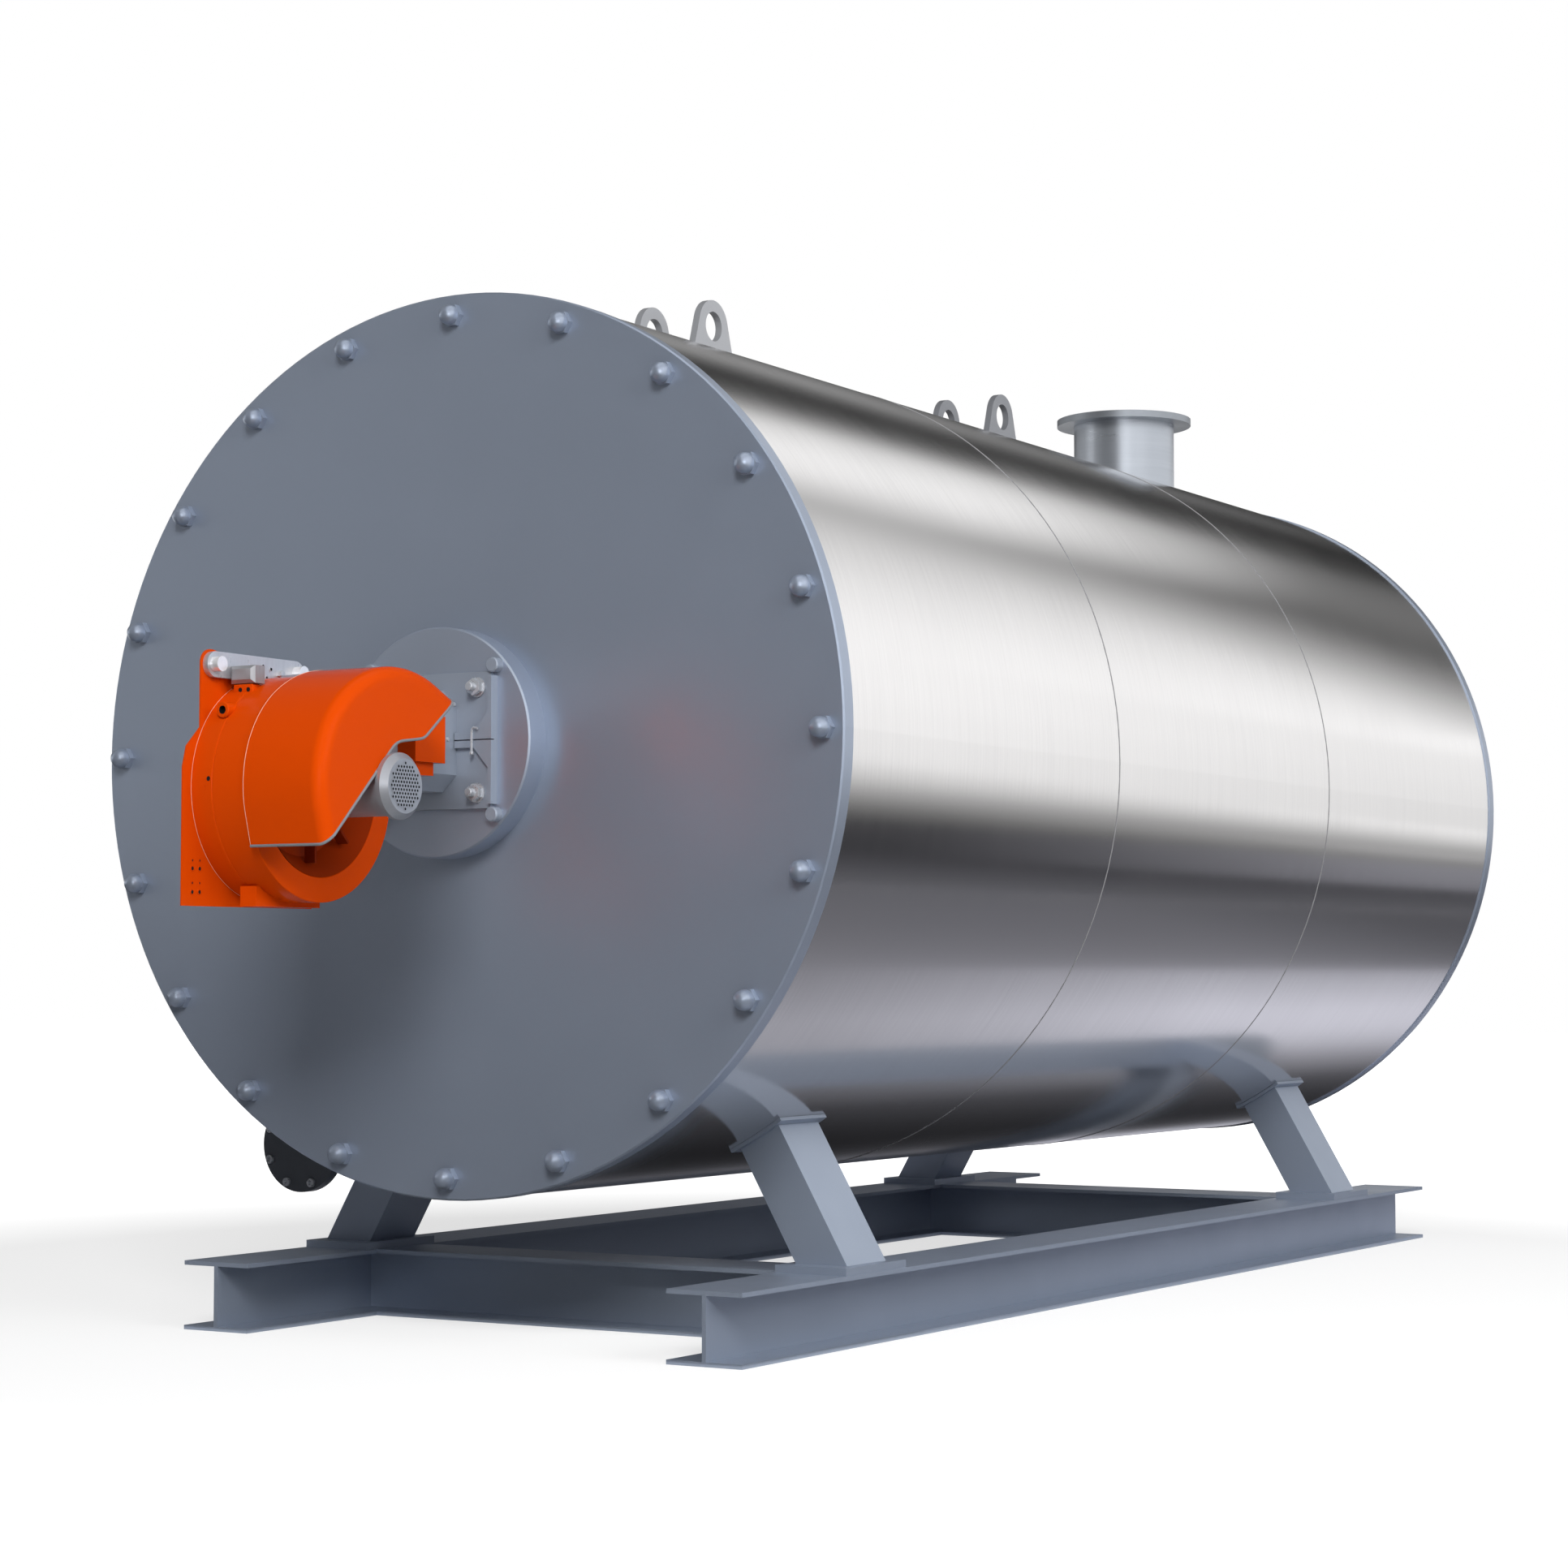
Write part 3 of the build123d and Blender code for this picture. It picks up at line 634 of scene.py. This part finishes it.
def placeHoodTrim():
    low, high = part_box("burner_hood")
    bm = bmesh.new()
    bm.from_mesh(nodes["burner_hood"].data)
    bmesh.ops.remove_doubles(bm, verts=bm.verts, dist=mergeGap["coarse"])
    centre = Vector(((low.x + high.x) / 2, fanCentre.y, fanCentre.z))
    edges = rimEdges(bm, centre)
    trimFrom = low.x + hoodTrim["leftClear"]
    highlightTo = low.x + highlightLine["leftClear"]
    cutRuns = chainsOf([edge for edge in edges if any(vert.co.x > trimFrom for vert in edge.verts)])
    rimRuns = chainsOf([edge for edge in edges if all(vert.co.x < highlightTo for vert in edge.verts)])
    bm.free()
    print("hood trim runs", [len(run) for run in cutRuns], "rim runs", [len(run) for run in rimRuns])
    finishPiece("hood_trim", runTubes(cutRuns, hoodTrim["radius"]), trimFinish)
    radius, left = highlightLine["drumRadius"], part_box("burner_casing")[0].x
    turns = [math.tau * step / highlightLine["steps"] for step in range(highlightLine["steps"] + 1)]
    drumRun = [fanCentre + Vector((left, radius * math.cos(turn), radius * math.sin(turn))) for turn in turns]
    # the rim runs and a ring round the drum become thin lines of painted highlight
    finishPiece("burner_highlight_lines", runTubes(rimRuns + [drumRun], highlightLine["radius"]), highlightLineFinish)


placeHoodTrim()


# fan casing: sight boss, drilled lug, tapped holes; measured from the fan's centre

casingBoss = {"place": (-0.026, -0.213, 0.169), "radius": 0.018, "hole": 0.0095, "edge": 0.002,
              "depth": 0.014, "back": 0.045, "steps": 28, "shadeShare": 1.05}
casingLug = {"place": (-0.030, -0.126, 0.2185), "size": (0.056, 0.028, 0.027), "edge": 0.003,
             "holes": (-0.037, -0.014), "holeUp": 0.219, "face": -0.140, "hole": 0.0055,
             "rim": 0.0015, "height": 0.0008}
casingHoles = {"places": ((-0.027, -0.2557, 0.014, 0.0055), (-0.036, -0.2557, -0.004, 0.003)),
               "rim": 0.001, "height": 0.0008}
sideHoles = {"across": (-0.249, -0.225), "small": (-0.165, -0.215), "large": (-0.183, -0.235),
             "smallHole": 0.0026, "largeHole": 0.0045, "rimShare": 0.4, "height": 0.0012}
barScrews = {"places": ((-0.033, 0.282), (-0.005, 0.277), (-0.043, 0.254), (-0.020, 0.256)), "hole": 0.004,
             "rim": 0.0015, "height": 0.0015, "plug": (0.024, 0.268), "plugCorner": 0.008,
             "plugHeight": 0.012, "plugEdge": 0.001}


def placeCasingBoss():
    size = casingBoss
    radius, edge, hole = size["radius"], size["edge"], size["hole"]
    boss = turnedShape([(radius, -size["back"]), (radius, -edge), (radius - edge, 0), (hole, 0),
                        (hole, -size["depth"]), (0, -size["depth"])], size["steps"])
    # faces inside the hole take painted shade
    for face in boss.faces:
        if face.calc_center_median().xy.length < hole * size["shadeShare"]:
            face.material_index = 1
    bmesh.ops.transform(boss, verts=boss.verts, matrix=facing((0, -1, 0), fanCentre + Vector(size["place"])))
    finishPiece("casing_boss", boss, orangeFinish, second=holeShadeFinish)


def placeCasingLug():
    bm = boxShape(casingLug["size"], casingLug["edge"])
    bmesh.ops.translate(bm, verts=bm.verts, vec=fanCentre + Vector(casingLug["place"]))
    ring = eyeletShape(casingLug["hole"], casingLug["rim"], casingLug["height"])
    for x in casingLug["holes"]:
        spot = fanCentre + Vector((x, casingLug["face"], casingLug["holeUp"]))
        addShape(bm, ring, facing((0, -1, 0), spot))
    ring.free()
    for x, a, b, hole in casingHoles["places"]:
        ring = eyeletShape(hole, casingHoles["rim"], casingHoles["height"])
        addShape(bm, ring, facing((0, a, b), fanCentre + Vector((x, a, b))))
        ring.free()
    finishPiece("casing_lug", bm, orangeFinish, second=holeShadeFinish)


def placeSideHoles():
    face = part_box("burner_side_plate")[1].x
    bm = bmesh.new()
    for kind in ("small", "large"):
        hole = sideHoles[kind + "Hole"]
        ring = eyeletShape(hole, hole * sideHoles["rimShare"], sideHoles["height"])
        for a in sideHoles["across"]:
            for b in sideHoles[kind]:
                spot = Vector((face, fanCentre.y + a, fanCentre.z + b))
                addShape(bm, ring, facing((1, 0, 0), spot))
        ring.free()
    finishPiece("side_plate_holes", bm, orangeFinish, second=holeShadeFinish)


def placeBarScrews():
    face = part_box("valve_bar")[1].x
    bm = bmesh.new()
    ring = eyeletShape(barScrews["hole"], barScrews["rim"], barScrews["height"])
    for a, b in barScrews["places"]:
        addShape(bm, ring, facing((1, 0, 0), Vector((face, fanCentre.y + a, fanCentre.z + b))))
    ring.free()
    plug = prismShape(6, barScrews["plugCorner"], barScrews["plugHeight"], barScrews["plugEdge"])
    a, b = barScrews["plug"]
    addShape(bm, plug, facing((1, 0, 0), Vector((face, fanCentre.y + a, fanCentre.z + b))))
    plug.free()
    finishPiece("valve_screws", bm, galvanFinish, second=holeShadeFinish)


# dark sheet inside the inlet, standing in for the shade under the hood
intakeShadeSheet = {"mouth": 0.1985, "throat": 0.1505, "depth": 0.060, "lift": 0.0012, "steps": 72}


def placeIntakeShadeSheet():
    # thin cone and floor inside the inlet, open round the motor: a dark sheet of painted shade where the hood
    # shades the inlet
    size = intakeShadeSheet
    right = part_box("burner_casing")[1].x
    hub = (coverHigh.z - coverLow.z) / 2
    floor = size["lift"] - size["depth"]
    bm = turnedShape([(hub, floor), (size["throat"], floor), (size["mouth"], 0)], size["steps"])
    bmesh.ops.transform(bm, verts=bm.verts, matrix=facing((1, 0, 0), (right, fanCentre.y, fanCentre.z)))
    finishPiece("intake_shade_sheet", bm, intakeShadeFinish)


placeIntakeShadeSheet()
placeCasingBoss()
placeCasingLug()
placeSideHoles()
placeBarScrews()


# hinge pin with its bent end, and two screws on the neck

hingePin = {"radius": 0.0032, "ball": 0.0055, "ballSteps": (12, 8),
            "run": ((0.150, -0.0965, 0.026), (0.138, -0.0965, 0.029), (0.133, -0.0965, 0.024),
                    (0.132, -0.0965, 0.016), (0.132, -0.0965, -0.032))}
neckScrews = {"places": ((-0.1152, 0.0014), (-0.0903, 0.0869)), "radius": 0.006, "height": 0.003,
              "topShare": 0.7, "steps": 14}


def placeHinge():
    run = [Vector((x, frontY + y, axisZ + z)) for x, y, z in hingePin["run"]]
    bm = tubeShape(run, hingePin["radius"])
    around, along = hingePin["ballSteps"]
    bmesh.ops.create_uvsphere(bm, u_segments=around, v_segments=along, radius=hingePin["ball"],
                              matrix=Matrix.Translation(run[-1]))
    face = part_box("burner_neck")[1].x
    radius, height = neckScrews["radius"], neckScrews["height"]
    crown = radius * neckScrews["topShare"]
    head = turnedShape([(radius, -height), (radius, 0), (crown, height), (0, height)], neckScrews["steps"])
    for y, z in neckScrews["places"]:
        addShape(bm, head, facing((1, 0, 0), (face, frontY + y, axisZ + z)))
    head.free()
    finishPiece("hinge_pin", bm, galvanFinish)


placeHinge()


# stage: camera, floor, cards and light

cameraSet = {"place": (4.8015, -8.1473, 0.8954), "tilt": 93.31, "turn": 31.14, "lens": 75.54, "sensor": 36}


def placeCamera():
    data = bpy.data.cameras.new("photoCamera")
    data.lens = cameraSet["lens"]
    data.sensor_width = cameraSet["sensor"]
    camera = bpy.data.objects.new("photoCamera", data)
    camera.location = cameraSet["place"]
    camera.rotation_euler = (math.radians(cameraSet["tilt"]), 0, math.radians(cameraSet["turn"]))
    scene.collection.objects.link(camera)
    scene.camera = camera


placeCamera()


def seenDirectly(tree):
    # 1 for camera, glossy and transmission rays, 0 for the rest
    path = tree.nodes.new("ShaderNodeLightPath")
    both = addMath(tree, "MAXIMUM", path.outputs["Is Camera Ray"], path.outputs["Is Glossy Ray"])
    return addMath(tree, "MAXIMUM", both, path.outputs["Is Transmission Ray"])


worldSet = {"ambient": 0.09, "background": 1.0}


def lightWorld():
    world = bpy.data.worlds.new("studio")
    scene.world = world
    world.use_nodes = True
    tree = world.node_tree
    shade = tree.nodes["Background"]
    shade.inputs["Color"].default_value = (1, 1, 1, 1)
    level = addRange(tree, seenDirectly(tree), 0, 1, worldSet["ambient"], worldSet["background"])
    tree.links.new(level, shade.inputs["Strength"])


lightWorld()

# the floor glows towards its far edge, at one level for the camera and at another in mirrored rays
floorSet = {"half": 40.0, "tone": 0.64, "fadeFrom": 3.0, "fadeTo": 7.0, "lift": 0.42, "glow": 1.62,
            "mirror": 0.86}


def layFloor():
    bm = bmesh.new()
    bmesh.ops.create_grid(bm, x_segments=1, y_segments=1, size=floorSet["half"])
    mesh = bpy.data.meshes.new("floor")
    bm.to_mesh(mesh)
    bm.free()
    floor = bpy.data.objects.new("floor", mesh)
    scene.collection.objects.link(floor)
    material = bpy.data.materials.new("paleFloor")
    material.use_nodes = True
    tree = material.node_tree
    tree.nodes.remove(tree.nodes["Principled BSDF"])
    matt = tree.nodes.new("ShaderNodeBsdfDiffuse")
    matt.inputs["Color"].default_value = (floorSet["tone"],) * 3 + (1,)
    glow = tree.nodes.new("ShaderNodeEmission")
    blend = tree.nodes.new("ShaderNodeMixShader")
    spot = tree.nodes.new("ShaderNodeTexCoord").outputs["Object"]
    length = tree.nodes.new("ShaderNodeVectorMath")
    length.operation = "LENGTH"
    tree.links.new(spot, length.inputs[0])
    view = tree.nodes.new("ShaderNodeLightPath").outputs["Is Camera Ray"]
    tree.links.new(addRange(tree, view, 0, 1, floorSet["mirror"], floorSet["glow"]), glow.inputs["Strength"])
    far = addRange(tree, length.outputs["Value"], floorSet["fadeFrom"], floorSet["fadeTo"],
                   floorSet["lift"], 1.0)
    tree.links.new(addMath(tree, "MULTIPLY", far, seenDirectly(tree)), blend.inputs["Fac"])
    tree.links.new(matt.outputs["BSDF"], blend.inputs[1])
    tree.links.new(glow.outputs["Emission"], blend.inputs[2])
    tree.links.new(blend.outputs["Shader"], tree.nodes["Material Output"].inputs["Surface"])
    mesh.materials.append(material)


layFloor()


def addRamp(tree, value, stops, tint):
    # brightness along a line from (position, level) stops between 0 and 1
    node = tree.nodes.new("ShaderNodeValToRGB")
    marks = node.color_ramp.elements
    while len(marks) < len(stops):
        marks.new(0.5)
    for mark, (position, level) in zip(marks, stops):
        mark.position = position
        mark.color = (level * tint[0], level * tint[1], level * tint[2], 1)
    tree.links.new(value, node.inputs["Fac"])
    return node.outputs["Color"]


def placeCard(name, corners, axis, stops, fade=None, tint=(1, 1, 1)):
    # flat card that only glossy rays see, its level running along one axis and fading with Y - lean * X
    bm = bmesh.new()
    bm.faces.new([bm.verts.new(corner) for corner in corners])
    mesh = bpy.data.meshes.new(name)
    bm.to_mesh(mesh)
    bm.free()
    card = bpy.data.objects.new(name, mesh)
    scene.collection.objects.link(card)
    material = bpy.data.materials.new(name)
    material.use_nodes = True
    tree = material.node_tree
    tree.nodes.remove(tree.nodes["Principled BSDF"])
    glow = tree.nodes.new("ShaderNodeEmission")
    parts = tree.nodes.new("ShaderNodeSeparateXYZ")
    tree.links.new(tree.nodes.new("ShaderNodeTexCoord").outputs["Object"], parts.inputs[0])
    low, high = stops[0][0], stops[-1][0]
    along = addRange(tree, parts.outputs[axis], low, high, 0.0, 1.0)
    shares = [((place - low) / (high - low), level) for place, level in stops]
    tree.links.new(addRamp(tree, along, shares, tint), glow.inputs["Color"])
    if fade:
        start, end, level, lean = fade
        shift = addMath(tree, "MULTIPLY", parts.outputs["X"], lean)
        slant = addMath(tree, "SUBTRACT", parts.outputs["Y"], shift)
        tree.links.new(addRange(tree, slant, start, end, 1.0, level), glow.inputs["Strength"])
    tree.links.new(glow.outputs["Emission"], tree.nodes["Material Output"].inputs["Surface"])
    mesh.materials.append(material)
    card.visible_camera = False
    card.visible_diffuse = False
    card.visible_shadow = False
    card.visible_transmission = False


# cards: level stops are (place, level), fades are (from, to, level at the end, lean)
cardSet = {"near": -6.0, "far": 24.0, "roofZ": 6.2, "floorZ": 0.006, "cool": (0.97, 0.975, 1.1)}
sideCard = {"x": 2.6, "base": 0.01, "middle": 0.45, "top": {"Left": 1.085, "Right": 0.82},
            "lowLevels": [(0.0, 0.115), (0.2, 0.085), (0.45, 0.04)], "highLevels": (0.035, 0.04),
            "fadeFrom": 1.5, "fadeTo": 6.0, "highRise": 6.0}
sideFades = (("fadeLow", [(0.82, 0.075), (0.9, 0.12), (1.0, 0.225)], 2.2),
             ("fadeHigh", [(1.0, 0.24), (1.1, 0.37), (1.25, 0.66), (1.36, 0.79)], 1.22))
floorLevels = {
    "floorIn": ([(0.0, 0.012), (0.2, 0.02), (0.4, 0.04), (0.6, 0.15), (0.75, 0.28), (0.88, 0.35),
                 (1.05, 0.36), (1.28, 0.28), (1.5, 0.21)], (-0.2, 2.7, 1.8, 0.0)),
    "floorOut": ([(1.5, 0.21), (1.75, 0.17), (2.0, 0.15), (2.6, 0.13)], (3.5, 6.5, 0.65, 0.0)),
}
roofLevels = {
    "left": ([(-30.0, 0.20), (-6.0, 0.20), (-3.5, 0.30), (-2.6, 0.12), (-1.9, 0.01), (-0.95, 0.06)],
             (8.0, 16.0, 0.2, 0.0)),
    "panel": ([(-0.95, 0.06), (-0.45, 0.30), (-0.05, 0.75), (0.7, 0.95), (1.3, 0.92), (1.75, 0.66),
               (2.1, 0.50)], (6.9, 11.2, 0.17, 0.0)),
    "right": ([(2.1, 0.50), (2.5, 0.55), (3.5, 0.72), (4.8, 0.87), (6.5, 0.97), (9.0, 1.0)],
              (-5.5, 4.0, 0.12, 4.0)),
}
backCard = {"x": 14.0, "from": -2.0, "to": 80.0, "fade": (23.0, 38.0, 0.88, 0.0),
            "levels": [(0.0, 0.86), (1.8, 0.87), (2.8, 0.89), (4.0, 0.93), (6.0, 0.98), (9.0, 1.0)]}
frontCard = {"y": -10.5, "top": 12.0, "floorTo": -2.4, "floorZ": 0.008, "underTo": -0.9,
             "levels": [(-14.0, 0.30), (-9.0, 0.24), (-4.0, 0.04), (3.0, 0.04)],
             "underLevels": [(-1.1, 0.04), (0.9, 0.04)]}
glintCard = {"from": (6.6, -6.6), "to": (4.2, -8.9), "low": 0.2, "high": 3.2, "level": 3.5}


def uprightCorners(x, near, far, low, high):
    return [(x, near, low), (x, far, low), (x, far, high), (x, near, high)]


def placeLevelCard(name, near, far, z, stops, fade=None, tint=(1, 1, 1)):
    # level card as wide as its stops, which run along X
    low, high = stops[0][0], stops[-1][0]
    corners = [(low, near, z), (high, near, z), (high, far, z), (low, far, z)]
    placeCard(name, corners, "X", stops, fade=fade, tint=tint)


def placeSideCards():
    near, far, cool = cardSet["near"], cardSet["far"], cardSet["cool"]
    middle, (darkLow, darkHigh) = sideCard["middle"], sideCard["highLevels"]
    rise = (sideCard["fadeFrom"], sideCard["fadeTo"])
    highFade = (*rise, sideCard["highRise"], 0.0)
    for side, label in ((-1, "Left"), (1, "Right")):
        x = side * sideCard["x"]
        top = sideCard["top"][label]
        placeCard("sideLow" + label, uprightCorners(x, near, far, sideCard["base"], middle),
                  "Z", sideCard["lowLevels"], tint=cool)
        placeCard("sideHigh" + label, uprightCorners(x, near, far, middle, top),
                  "Z", [(middle, darkLow), (top, darkHigh)], fade=highFade, tint=cool)
    for name, levels, growth in sideFades:
        low, high = levels[0][0], levels[-1][0]
        placeCard(name, uprightCorners(sideCard["x"], near, far, low, high), "Z", levels,
                  fade=(*rise, growth, 0.0))


def placeFloorAndRoofCards():
    near, far = cardSet["near"], cardSet["far"]
    for side, label in ((-1, "Left"), (1, "Right")):
        for name, (levels, fade) in floorLevels.items():
            stops = sorted((side * place, level) for place, level in levels)
            placeLevelCard(name + label, near, far, cardSet["floorZ"], stops, fade, cardSet["cool"])
    for name, (stops, fade) in roofLevels.items():
        placeLevelCard("roof" + name, near, far, cardSet["roofZ"], stops, fade)


def placeEndCards():
    stops = frontCard["levels"]
    low, high = stops[0][0], stops[-1][0]
    y, top, end = frontCard["y"], frontCard["top"], frontCard["floorTo"]
    placeCard("frontFlag", [(low, y, 0), (high, y, 0), (high, y, top), (low, y, top)], "X", stops)
    placeLevelCard("frontFloor", y, end, frontCard["floorZ"], stops)
    placeLevelCard("frontUnder", end, frontCard["underTo"], frontCard["floorZ"], frontCard["underLevels"])
    stops = backCard["levels"]
    corners = uprightCorners(backCard["x"], backCard["from"], backCard["to"], 0, stops[-1][0])
    placeCard("backFlag", corners, "Z", stops, fade=backCard["fade"])
    (x0, y0), (x1, y1) = glintCard["from"], glintCard["to"]
    low, high, level = glintCard["low"], glintCard["high"], glintCard["level"]
    placeCard("glint", [(x0, y0, low), (x1, y1, low), (x1, y1, high), (x0, y0, high)],
              "Z", [(low, level), (high, level)])


placeSideCards()
placeFloorAndRoofCards()
placeEndCards()

lampSet = {
    "key": {"place": (7.3, -14.0, 9.6), "aim": (0, -1.8, 1.3), "size": 5.0, "power": 2300},
    "top": {"place": (1.5, 0.5, 8.5), "aim": (0.3, 0.5, 0), "size": 7.0, "power": 40},
    "side": {"place": (8.0, -3.0, 5.0), "aim": (0, 0.5, 1.3), "size": 5.0, "power": 470},
}


def placeLamps():
    for name, lamp in lampSet.items():
        data = bpy.data.lights.new(name, "AREA")
        data.shape = "SQUARE"
        data.size = lamp["size"]
        data.energy = lamp["power"]
        light = bpy.data.objects.new(name, data)
        light.location = lamp["place"]
        direction = Vector(lamp["aim"]) - Vector(lamp["place"])
        light.rotation_euler = direction.to_track_quat("-Z", "Y").to_euler()
        light.visible_glossy = False
        light.visible_camera = False
        scene.collection.objects.link(light)


placeLamps()
print("stage set with", len(lampSet), "lamps")
scene.view_settings.view_transform = "Standard"
